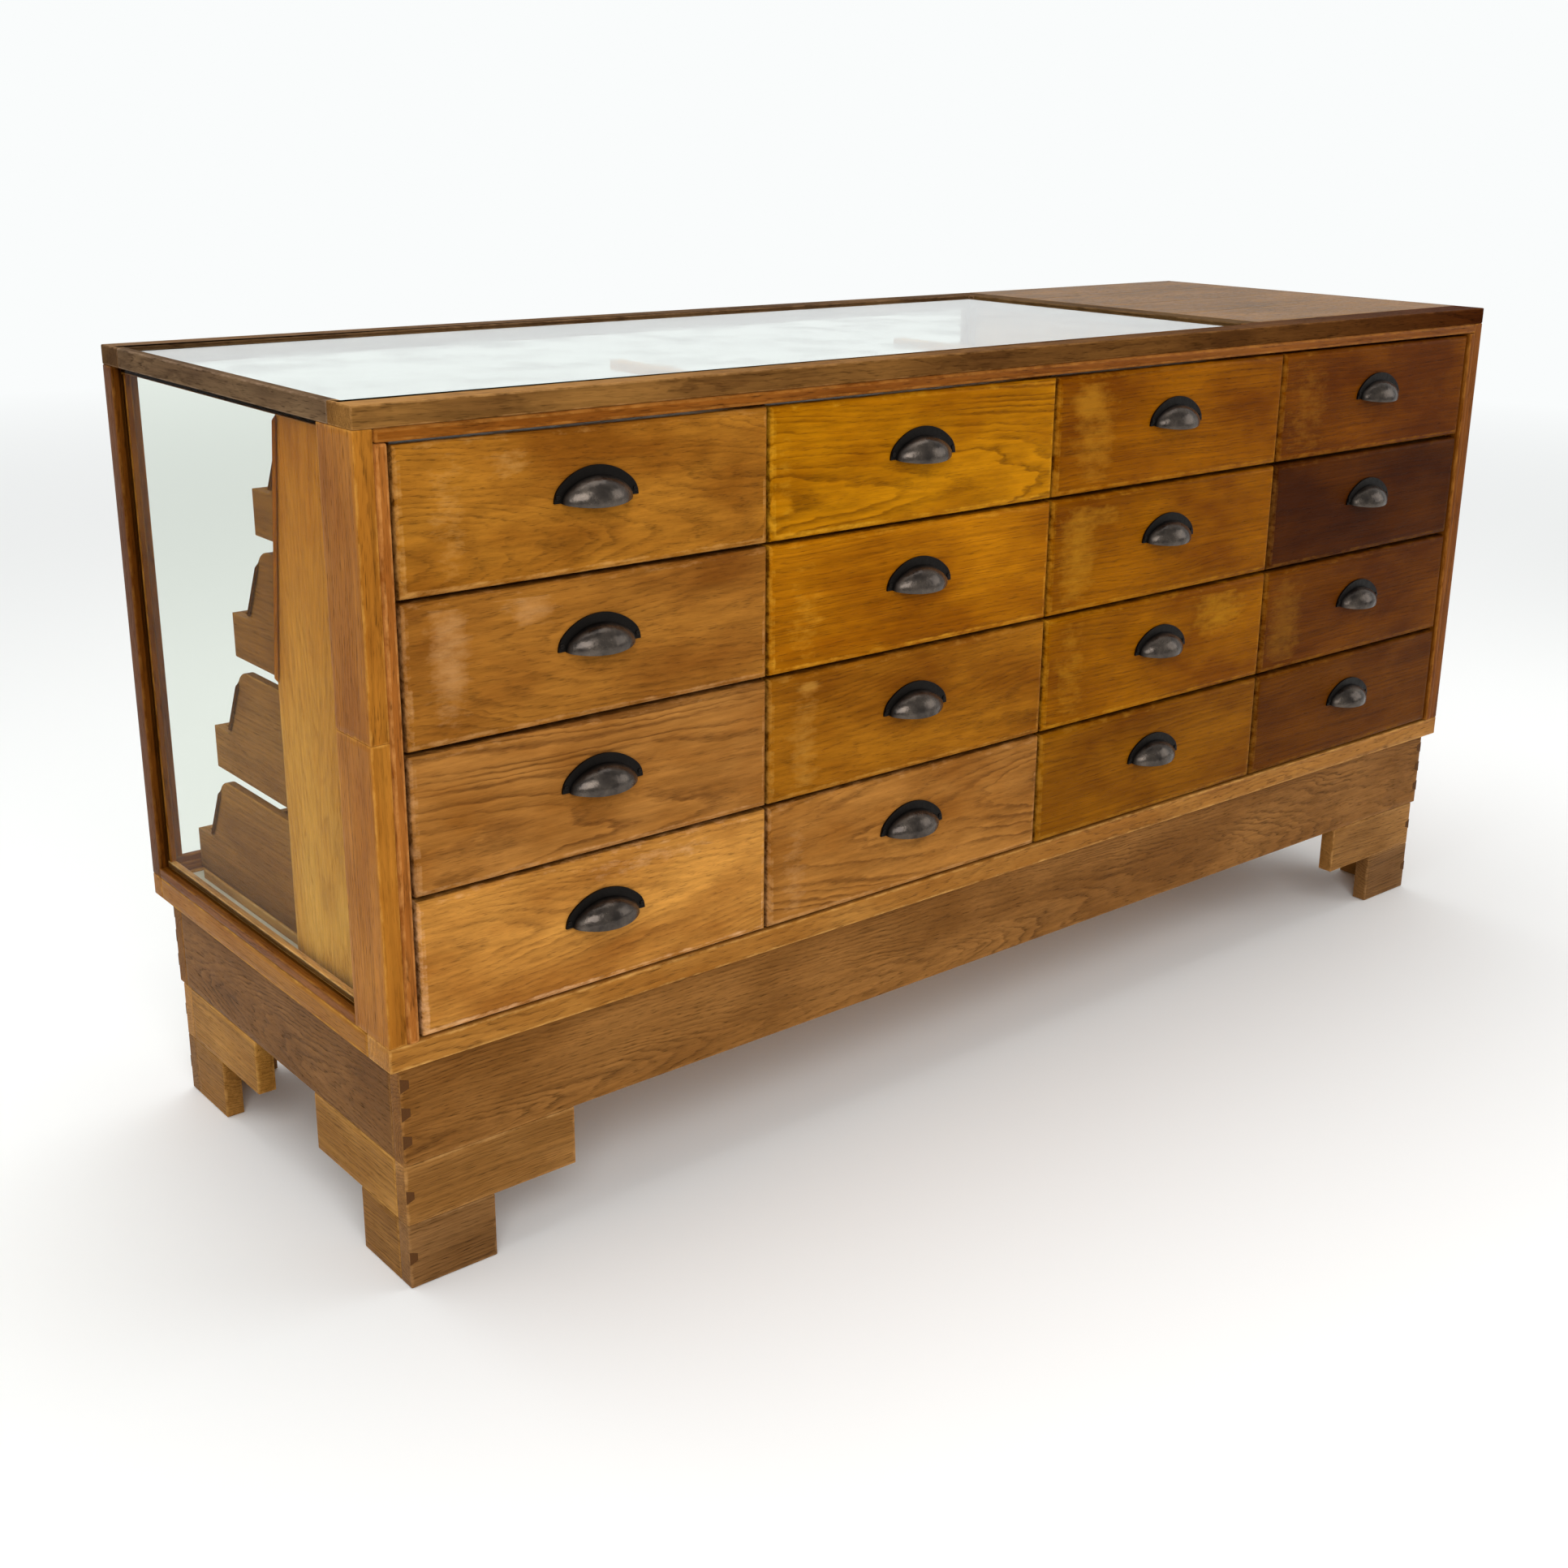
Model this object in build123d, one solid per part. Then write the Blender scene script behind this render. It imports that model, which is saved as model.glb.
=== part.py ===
from build123d import *
import math
import os

os.makedirs("parts", exist_ok=True)

# A glazed shop counter with four columns of four display drawers. All sizes are in millimetres.
# Pieces are drawn in counter coordinates: X runs along the length from the glazed left end, Y runs back
# from the carcase's front face, and Z is up from the floor. save() moves them to the row frame.

# ---- overall; the height follows from the plinth, the stack of drawers and the top frame ----
length = 1830
depth = 600

# ---- plinth and stepped feet ----
plinth_thickness = 22
plinth_bottom = 143
plinth_top = 258
plinth_end_inset = 15
plinth_front_inset = 12
plinth_back_inset = 16
foot_step_bottom = 74
foot_step_length = 205
foot_block_length = 103
foot_right_inset = 9
foot_back_inset = 9

# ---- base frame and floor ----
base_rail_height = 27
base_rail_width = 48
base_end_width = 24
floor_thickness = 18
floor_lining_thickness = 2
floor_drop = 5

# ---- posts, sills and top frame ----
post_thickness = 20
post_width = 72
back_post_size = 24
mullion_width = 36
sill_height = 12
sill_width = 22
top_rail_thickness = 22
top_rail_width = 48
top_end_rail_width = 22
glass_rebate_width = 10

# ---- glass, panels and their beads ----
top_glass_thickness = 6
top_glass_sink = 3
side_glass_thickness = 4
side_glass_inset = 8
glazing_bead_size = 8
panel_thickness = 10
panel_inset = 6

# ---- drawer openings and fronts ----
columns = 4
rows = 4
side_margin = 36
front_gap = 4
front_height = 145
front_thickness = 20
front_proud = 2
front_edge_radius = 6
lowest_front_gap = 3
top_front_gap = 3
lip_clearance = 1
bead_width = 13
bead_proud = 3
bead_radius = 3

# ---- drawer boxes ----
upright_thickness = 18
side_clearance = 2
box_lift = 6
box_top_drop = 5
box_wall = 10
ledge_height = 50
ledge_length = 42
slope_length = 44
shoulder_radius = 26
slope_foot_radius = 8
drawer_bottom_thickness = 5
drawer_bottom_lift = 4
top_drawer_depth = 330
drawer_depth_step = 77

# ---- uprights and runners ----
upright_top_depth = 215
upright_full_depth = 256
upright_slope_bottom = 600
cap_height = 11
cap_length = 263
floor_cleat_height = 14
floor_cleat_length = 26
runner_thickness = 11
runner_width = 20
runner_clearance = 0.3
divider_depth = 40
floor_runner_stop = 10

# ---- cup pulls ----
pull_width = 99
pull_height = 34
pull_projection = 24
pull_wall = 2
pull_flange_width = 8
pull_flange_thickness = 2.5
pull_lip_angle = 12
pull_screw_radius = 1.4
pull_screw_hole_radius = 1.45
pull_screw_head_radius = 2.6
pull_screw_head_height = 1.2
pull_screw_slot = 0.6
pull_screw_length = 14
pull_screw_rise = 6

# ---- places worked out from the sizes ----
pull_reach = front_proud + pull_projection
to_row_frame = Pos(-length / 2, -(depth - pull_reach) / 2, 0)
carcase_bottom = plinth_top
base_top = carcase_bottom + base_rail_height
floor_top = base_top - floor_drop
lining_top = floor_top + floor_lining_thickness
sill_top = base_top + sill_height
column_pitch = (length - 2 * side_margin) / columns
row_pitch = front_height + front_gap
box_height = front_height - box_lift - box_top_drop
lowest_front_bottom = base_top + lowest_front_gap
highest_front_top = lowest_front_bottom + rows * row_pitch - front_gap
frame_underside = highest_front_top + top_front_gap + bead_width
height = frame_underside + top_rail_thickness
front_back = front_thickness - front_proud
upright_front = front_back + lip_clearance
upright_top = frame_underside - cap_height
till_side = side_margin + (columns - 1) * column_pitch
back_inside = depth - back_post_size
showcase_end = till_side - mullion_width / 2


def block(x0, x1, y0, y1, z0, z1):
    """A board between two corners."""
    return Pos(x0, y0, z0) * Box(x1 - x0, y1 - y0, z1 - z0, align=Align.MIN)


def along_y(radius, y0, y1):
    """A round bar along Y."""
    bar = Cylinder(radius, y1 - y0, align=(Align.CENTER, Align.CENTER, Align.MIN))
    return Pos(0, y1, 0) * Rot(90, 0, 0) * bar


def save(node, *pieces):
    """Writes one node, a group of separate solids, in the row frame."""
    solids = [to_row_frame * solid for piece in pieces for solid in piece.solids()]
    export_step(Compound(solids), f"parts/{node}.step")


def column_line(column):
    """The middle of the gap at the left of a column."""
    return side_margin + column * column_pitch


def front_bottom(row):
    """The lower edge of a row's drawer fronts; row 0 is the top row."""
    return lowest_front_bottom + (rows - 1 - row) * row_pitch


def box_bottom(row):
    return front_bottom(row) + box_lift


def drawer_depth(row):
    """How far back a row's drawers reach; each row reaches further than the one above it."""
    return top_drawer_depth + row * drawer_depth_step


# ---- plinth and feet ----
def plinth():
    left = plinth_end_inset
    right = length - plinth_end_inset
    front = plinth_front_inset
    back = depth - plinth_back_inset
    low, high, wall = plinth_bottom, plinth_top, plinth_thickness
    save("plinth_front", block(left, right, front, front + wall, low, high))
    save("plinth_back", block(left, right, back - wall, back, low, high))
    left_end = block(left, left + wall, front + wall, back - wall, low, high)
    right_end = block(right - wall, right, front + wall, back - wall, low, high)
    save("plinth_ends", left_end, right_end)


def foot(node, corner_x, corner_y, along, inward):
    """A stepped corner foot: two boards for the upper step and two shorter ones for the block under it.

    along is +1 where the foot runs to the right from its corner, and inward is +1 where it runs back."""
    wall = plinth_thickness
    boards = []
    for reach, low, high in (
        (foot_step_length, foot_step_bottom, plinth_bottom),
        (foot_block_length, 0, foot_step_bottom),
    ):
        x_near, x_far = sorted((corner_x, corner_x + along * reach))
        y_near, y_far = sorted((corner_y, corner_y + inward * wall))
        boards.append(block(x_near, x_far, y_near, y_far, low, high))
        x_near, x_far = sorted((corner_x, corner_x + along * wall))
        y_near, y_far = sorted((corner_y + inward * wall, corner_y + inward * reach))
        boards.append(block(x_near, x_far, y_near, y_far, low, high))
    save(node, *boards)


def feet():
    left = plinth_end_inset
    right = length - plinth_end_inset - foot_right_inset
    front = plinth_front_inset
    back = depth - plinth_back_inset - foot_back_inset
    foot("foot_front_left", left, front, 1, 1)
    foot("foot_front_right", right, front, -1, 1)
    foot("foot_back_left", left, back, 1, -1)
    foot("foot_back_right", right, back, -1, -1)


# ---- carcase ----
def base_frame():
    low, high = carcase_bottom, base_top
    front = block(0, length, 0, base_rail_width, low, high)
    back = block(0, length, back_inside, depth, low, high)
    left = block(0, base_end_width, base_rail_width, back_inside, low, high)
    right = block(length - base_end_width, length, base_rail_width, back_inside, low, high)
    save("base_frame", front, back, left, right)
    inside = (base_end_width, length - base_end_width, base_rail_width, back_inside)
    board = block(*inside, floor_top - floor_thickness, floor_top)
    lining = block(*inside, floor_top, lining_top)
    save("floor_board", board, lining)


def posts():
    low, high = base_top, frame_underside
    save("post_front_left", block(0, post_thickness, 0, post_width, low, high))
    save("post_front_right", block(length - post_thickness, length, 0, post_width, low, high))
    left = block(0, back_post_size, back_inside, depth, low, high)
    right = block(length - back_post_size, length, back_inside, depth, low, high)
    mullion = block(showcase_end, showcase_end + mullion_width, back_inside, depth, low, high)
    save("posts_back", left, right, mullion)


def top_frame():
    low, high = frame_underside, height
    glass_bottom = height - top_glass_sink - top_glass_thickness
    inner_left = top_end_rail_width
    inner_right = till_side - top_rail_width
    inner_front = top_rail_width
    inner_back = depth - top_rail_width
    ledge = glass_rebate_width
    rebate = block(
        inner_left - ledge, inner_right + ledge, inner_front - ledge, inner_back + ledge, glass_bottom, height
    )
    front = block(0, length, 0, inner_front, low, high) - rebate
    back = block(0, till_side, inner_back, depth, low, high) - rebate
    left = block(0, inner_left, inner_front, inner_back, low, high) - rebate
    cross = block(inner_right, till_side, inner_front, inner_back, low, high) - rebate
    save("top_rail_front", front)
    save("top_rail_back", back)
    save("top_rail_left", left)
    save("top_rail_cross", cross)
    glass = block(
        inner_left - ledge,
        inner_right + ledge,
        inner_front - ledge,
        inner_back + ledge,
        glass_bottom,
        glass_bottom + top_glass_thickness,
    )
    save("glass_top", glass)
    save("till_top", block(till_side, length, inner_front, depth, low, high))


def glazing_and_panels():
    low, high = sill_top, frame_underside
    left_sill = block(0, sill_width, post_width, back_inside, base_top, sill_top)
    right_sill = block(length - sill_width, length, post_width, back_inside, base_top, sill_top)
    show_sill = block(back_post_size, showcase_end, depth - sill_width, depth, base_top, sill_top)
    till_end = showcase_end + mullion_width
    till_sill = block(till_end, length - back_post_size, depth - sill_width, depth, base_top, sill_top)

    glass_in = side_glass_inset
    glass_out = side_glass_inset + side_glass_thickness
    save("glass_left", block(glass_in, glass_out, post_width, back_inside, low, high))
    save("glass_back", block(back_post_size, showcase_end, depth - glass_out, depth - glass_in, low, high))

    # The beads lie against the glass on the inside and hold it in its frame.
    bead = glazing_bead_size
    left_x = (glass_out, glass_out + bead)
    back_y = (depth - glass_out - bead, depth - glass_out)
    beads = [
        block(*left_x, post_width, back_inside, low, low + bead),
        block(*left_x, post_width, back_inside, high - bead, high),
        block(*left_x, post_width, post_width + bead, low + bead, high - bead),
        block(*left_x, back_inside - bead, back_inside, low + bead, high - bead),
        block(back_post_size, showcase_end, *back_y, low, low + bead),
        block(back_post_size, showcase_end, *back_y, high - bead, high),
        block(back_post_size, back_post_size + bead, *back_y, low + bead, high - bead),
        block(showcase_end - bead, showcase_end, *back_y, low + bead, high - bead),
    ]
    save("sills_and_glazing_beads", left_sill, right_sill, show_sill, till_sill, *beads)

    outer = panel_inset
    inner = panel_inset + panel_thickness
    save("panel_right", block(length - inner, length - outer, post_width, back_inside, low, high))
    save("panel_back", block(till_end, length - back_post_size, depth - inner, depth - outer, low, high))


def front_beads():
    """The half-round bead that frames the drawers on three sides."""
    left = post_thickness
    right = length - post_thickness
    low = base_top
    high = frame_underside
    pieces = [
        block(left, left + bead_width, -bead_proud, upright_front, low, high - bead_width),
        block(right - bead_width, right, -bead_proud, upright_front, low, high - bead_width),
        block(left, right, -bead_proud, upright_front, high - bead_width, high),
    ]
    rounded = [fillet(piece.faces().sort_by(Axis.Y)[0].edges(), bead_radius) for piece in pieces]
    save("front_beads", *rounded)


# ---- uprights, dividers and runners ----
def upright_depth(z):
    """How far back an upright's rear edge lies at a height."""
    share = (upright_top - z) / (upright_top - upright_slope_bottom)
    share = min(max(share, 0), 1)
    return upright_top_depth + share * (upright_full_depth - upright_top_depth)


def upright(line):
    """A board that carries the runners, with the cap over it and the cleat at its foot."""
    x0 = line - upright_thickness / 2
    outline = Plane.YZ * Polyline(
        (upright_front, lining_top),
        (upright_full_depth, lining_top),
        (upright_full_depth, upright_slope_bottom),
        (upright_top_depth, upright_top),
        (upright_front, upright_top),
        close=True,
    )
    # The front rail stands higher than the floor, so the board's foot is cut back over it.
    board = Pos(x0, 0, 0) * extrude(make_face(outline), upright_thickness, dir=(1, 0, 0))
    board -= block(x0, x0 + upright_thickness, 0, base_rail_width, 0, base_top)
    x1 = x0 + upright_thickness
    cap = block(x0, x1, upright_front, upright_front + cap_length, upright_top, frame_underside)
    return board, cap


def floor_cleat(line):
    """A short strip on the floor that stops the upright's foot from moving outwards."""
    x1 = line - upright_thickness / 2
    y1 = upright_full_depth
    y0 = y1 - floor_cleat_length
    return block(base_end_width, x1, y0, y1, lining_top, lining_top + floor_cleat_height)


def uprights():
    save("upright_left", *upright(column_line(0)), floor_cleat(column_line(0)))
    middle = [piece for column in range(1, columns - 1) for piece in upright(column_line(column))]
    save("uprights_middle", *middle)


def till_partition():
    """The full-depth board between the glazed part and the till, and the upright at the right end."""
    x0 = till_side - upright_thickness / 2
    x1 = x0 + upright_thickness
    full = block(x0, x1, upright_front, back_inside, lining_top, frame_underside)
    full -= block(x0, x1, 0, base_rail_width, 0, base_top)
    save("till_partition", full, *upright(column_line(columns)))


def runner_frames():
    """A divider rail across the front of each opening and a runner under each drawer side."""
    pieces = []
    half = upright_thickness / 2
    for column in range(columns):
        left = column_line(column) + half
        right = column_line(column + 1) - half
        for row in range(rows):
            high = box_bottom(row) - runner_clearance
            low = high - runner_thickness
            back = upright_depth(low)
            front = upright_front + divider_depth
            if row == rows - 1:
                low = lining_top
                back = drawer_depth(row) - floor_runner_stop
                front = base_rail_width
            else:
                pieces.append(block(left, right, upright_front, front, low, high))
            pieces.append(block(left, left + runner_width, front, back, low, high))
            pieces.append(block(right - runner_width, right, front, back, low, high))
    save("runner_frames", *pieces)


# ---- drawers ----
def drawer_side(x0, bottom, reach):
    """A side with a high front part, a shoulder, a slope and a low ledge at the back."""
    top = bottom + box_height
    ledge = bottom + ledge_height
    slope_foot = reach - ledge_length
    shoulder = slope_foot - slope_length
    crest = FilletPolyline(
        (front_back, top),
        (shoulder, top),
        (slope_foot, ledge),
        (reach, ledge),
        radius=[shoulder_radius, slope_foot_radius],
    )
    foot_line = Polyline((reach, ledge), (reach, bottom), (front_back, bottom), (front_back, top))
    outline = Plane.YZ * (crest + foot_line)
    return Pos(x0, 0, 0) * extrude(make_face(outline), box_wall, dir=(1, 0, 0))


def drawer(node, row, column):
    left = column_line(column)
    right = column_line(column + 1)
    low = front_bottom(row)
    front = block(
        left + front_gap / 2, right - front_gap / 2, -front_proud, front_back, low, low + front_height
    )
    front = fillet(front.faces().sort_by(Axis.Y)[0].edges(), front_edge_radius)
    middle = Pos((left + right) / 2, -front_proud, low + front_height / 2)
    for x in pull_screw_places():
        front -= middle * Pos(x, 0, pull_screw_rise) * along_y(pull_screw_hole_radius, 0, pull_screw_length)

    edge = upright_thickness / 2 + side_clearance
    box_left = left + edge
    box_right = right - edge
    bottom = box_bottom(row)
    reach = drawer_depth(row)
    left_side = drawer_side(box_left, bottom, reach)
    right_side = drawer_side(box_right - box_wall, bottom, reach)
    inner_left = box_left + box_wall
    inner_right = box_right - box_wall
    back = block(inner_left, inner_right, reach - box_wall, reach, bottom, bottom + ledge_height)
    sheet_low = bottom + drawer_bottom_lift
    sheet = block(
        inner_left,
        inner_right,
        front_back,
        reach - box_wall,
        sheet_low,
        sheet_low + drawer_bottom_thickness,
    )
    save(node, front, left_side, right_side, back, sheet)


def half_oval(half_width, radius):
    """The upper half of an oval, as a face: a wide arc between two end arcs that meet it smoothly."""
    end_radius = radius**2 / half_width
    end_centre = half_width - end_radius
    wide_radius = (end_centre**2 + radius**2 - end_radius**2) / (2 * (radius - end_radius))
    turn = math.atan2(wide_radius - radius, end_centre)
    joint = (end_centre + end_radius * math.cos(turn), end_radius * math.sin(turn))
    halfway = (end_centre + end_radius * math.cos(turn / 2), end_radius * math.sin(turn / 2))
    right = ThreePointArc((half_width, 0), halfway, joint)
    wide = ThreePointArc(joint, (0, radius), (-joint[0], joint[1]))
    left = ThreePointArc((-joint[0], joint[1]), (-halfway[0], halfway[1]), (-half_width, 0))
    return make_face(right + wide + left + Line((-half_width, 0), (half_width, 0)))


def cup_pull():
    """A cup pull: a flange on the plane Y = 0 with a dome that reaches along -Y and opens downwards."""
    dome_half = pull_width / 2 - pull_flange_width
    dome_radius = pull_projection
    hollow = half_oval(dome_half - pull_wall, dome_radius - pull_wall)
    # Each outline stands on the plane Y = 0. The dome turns forwards about X, from the flange to its lip.
    wall = Plane.XZ * (half_oval(dome_half, dome_radius) - hollow)
    dome = revolve(wall, Axis.X, 90 + pull_lip_angle)
    flange = extrude(Plane.XZ * (half_oval(pull_width / 2, pull_height) - hollow), pull_flange_thickness)
    cup = dome + flange
    for x in pull_screw_places():
        cup -= Pos(x, 0, pull_screw_rise) * along_y(pull_screw_hole_radius, -pull_flange_thickness * 2, 0)
    return cup


def pull_screw_places():
    side = (pull_width - pull_flange_width) / 2
    return (-side, side)


def pull_screw():
    """A slotted round-head screw whose head rests on the flange; its axis is the Y axis."""
    seat = -pull_flange_thickness
    head = along_y(pull_screw_head_radius, seat - pull_screw_head_height, seat)
    rim = head.edges().sort_by(Axis.Y)[0]
    head = fillet(rim, pull_screw_head_height * 0.6)
    slot_depth = pull_screw_head_height / 2
    face = seat - pull_screw_head_height
    slot = block(
        -pull_screw_head_radius,
        pull_screw_head_radius,
        face,
        face + slot_depth,
        -pull_screw_slot / 2,
        pull_screw_slot / 2,
    )
    return head - slot + along_y(pull_screw_radius, seat, seat + pull_screw_length)


def pull(node, row, column):
    middle = Pos(
        (column_line(column) + column_line(column + 1)) / 2,
        -front_proud,
        front_bottom(row) + front_height / 2,
    )
    screws = [middle * Pos(x, 0, pull_screw_rise) * pull_screw() for x in pull_screw_places()]
    save(node, middle * cup_pull(), *screws)


plinth()
feet()
base_frame()
posts()
top_frame()
glazing_and_panels()
front_beads()
uprights()
till_partition()
runner_frames()
for row in range(rows):
    for column in range(columns):
        place = f"row{row + 1}_column{column + 1}"
        drawer(f"drawer_{place}", row, column)
        pull(f"pull_{place}", row, column)
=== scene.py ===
import bpy
import math
from mathutils import Matrix, Vector
from random import Random


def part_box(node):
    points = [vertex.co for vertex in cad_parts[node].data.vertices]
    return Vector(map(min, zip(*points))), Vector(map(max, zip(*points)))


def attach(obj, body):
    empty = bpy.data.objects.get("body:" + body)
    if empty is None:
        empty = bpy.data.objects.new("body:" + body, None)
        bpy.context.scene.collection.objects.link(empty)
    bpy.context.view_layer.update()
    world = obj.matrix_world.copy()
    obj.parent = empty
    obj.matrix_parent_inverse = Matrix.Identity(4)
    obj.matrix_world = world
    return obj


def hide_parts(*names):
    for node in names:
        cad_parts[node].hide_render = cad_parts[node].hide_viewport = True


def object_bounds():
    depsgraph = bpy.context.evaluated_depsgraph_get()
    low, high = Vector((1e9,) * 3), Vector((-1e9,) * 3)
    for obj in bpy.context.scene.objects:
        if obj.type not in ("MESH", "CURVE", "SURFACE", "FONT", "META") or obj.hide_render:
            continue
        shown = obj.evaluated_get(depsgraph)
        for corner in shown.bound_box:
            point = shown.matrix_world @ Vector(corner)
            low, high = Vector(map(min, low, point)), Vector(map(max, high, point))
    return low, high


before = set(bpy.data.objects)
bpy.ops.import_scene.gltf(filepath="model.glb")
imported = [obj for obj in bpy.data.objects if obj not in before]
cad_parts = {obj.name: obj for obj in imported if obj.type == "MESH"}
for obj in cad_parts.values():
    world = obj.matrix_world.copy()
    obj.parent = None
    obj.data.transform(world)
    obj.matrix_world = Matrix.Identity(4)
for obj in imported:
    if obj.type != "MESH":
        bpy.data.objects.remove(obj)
cad_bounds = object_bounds()

# An oak shop counter with sixteen display drawers. Every size is in metres. Places are given from the
# counter's own corner: x from the glazed left end, y back from the carcase's front face, z up from the floor.
corner = Vector((cad_bounds[0].x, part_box("base_frame")[0].y, cad_bounds[0].z))
length = cad_bounds[1].x - corner.x
depth = cad_bounds[1].y - corner.y

# The joiner's sizes, the same as in the frame.
columns = 4
rows = 4
side_margin = 0.036
column_pitch = (length - 2 * side_margin) / columns
row_pitch = 0.149
front_gap = 0.004
front_height = 0.145
front_thickness = 0.020
front_proud = 0.002
lowest_front = 0.288
box_lift = 0.006
box_wall = 0.010
ledge_height = 0.050
side_drop = 0.005
ledge_length = 0.042
slope_length = 0.044
shoulder_radius = 0.0155
slope_foot_radius = 0.004
bottom_rise = 0.004
bottom_top = 0.009
top_drawer_depth = 0.330
drawer_depth_step = 0.077
upright_thickness = 0.018
side_clearance = 0.002
board_wall = 0.022
till_side = side_margin + (columns - 1) * column_pitch
base_top = 0.285
frame_underside = 0.896
upright_top = 0.885
lining_top = 0.282
upright_front = 0.019
upright_depth = 0.256
upright_top_depth = 0.215
lean_start = 0.600
rail_thickness = 0.024
front_rail_depth = 0.048
post_width = 0.024
mullion_half = 0.018
back_inside = depth - 0.024
X, Y, Z = 0, 1, 2


def spot(x, y, z):
    """A place on the counter, as a point of the frame."""
    return corner + Vector((x, y, z))


def column_line(column):
    return side_margin + column * column_pitch


def front_bottom(row):
    return lowest_front + (rows - 1 - row) * row_pitch


# ---- materials ----
def colour(code):
    """An sRGB hex colour as the linear colour that a shader takes."""
    parts = [int(code[i : i + 2], 16) / 255 for i in (1, 3, 5)]
    return [c / 12.92 if c <= 0.04045 else ((c + 0.055) / 1.055) ** 2.4 for c in parts] + [1]


def add(tree, kind, links=None, output=0, **settings):
    """Adds one node, sets it up, and fills its inputs with values or with other nodes' outputs.

    Gives one of its outputs, the first unless another is asked for, or the node itself where it has none."""
    node = tree.nodes.new(kind)
    for name, value in settings.items():
        setattr(node, name, value)
    for name, value in (links or {}).items():
        if isinstance(value, bpy.types.NodeSocket):
            tree.links.new(value, node.inputs[name])
        else:
            node.inputs[name].default_value = value
    return node.outputs[output] if len(node.outputs) else node


def mix(tree, share, one, other):
    """The colour between two others, at the second's share."""
    return add(tree, "ShaderNodeMix", {"Factor": share, 6: one, 7: other}, data_type="RGBA", output=2)


def noise(tree, place, scale, detail, roughness=0.5, shift=(0, 0, 0), output=0):
    """Noise in the trunk, with its own fineness along each axis."""
    stretched = add(tree, "ShaderNodeMapping", {"Vector": place, "Scale": scale, "Location": shift})
    settings = {"Vector": stretched, "Scale": 1, "Detail": detail, "Roughness": roughness}
    return add(tree, "ShaderNodeTexNoise", settings, output=output)


def blank(name):
    """A new material with an empty tree and its output."""
    material = bpy.data.materials.new(name)
    material.use_nodes = True
    tree = material.node_tree
    tree.nodes.clear()
    return material, tree


# How dark the wood is across one growth ring, from its start to the next one's.
ring_profile = ((0, 0.85), (0.10, 1), (0.30, 0.40), (0.62, 0.08), (0.90, 0), (1, 0.85))
# How rough the bare wood is, on a scale from 0 to 1.
bare_roughness = 0.60


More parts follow.
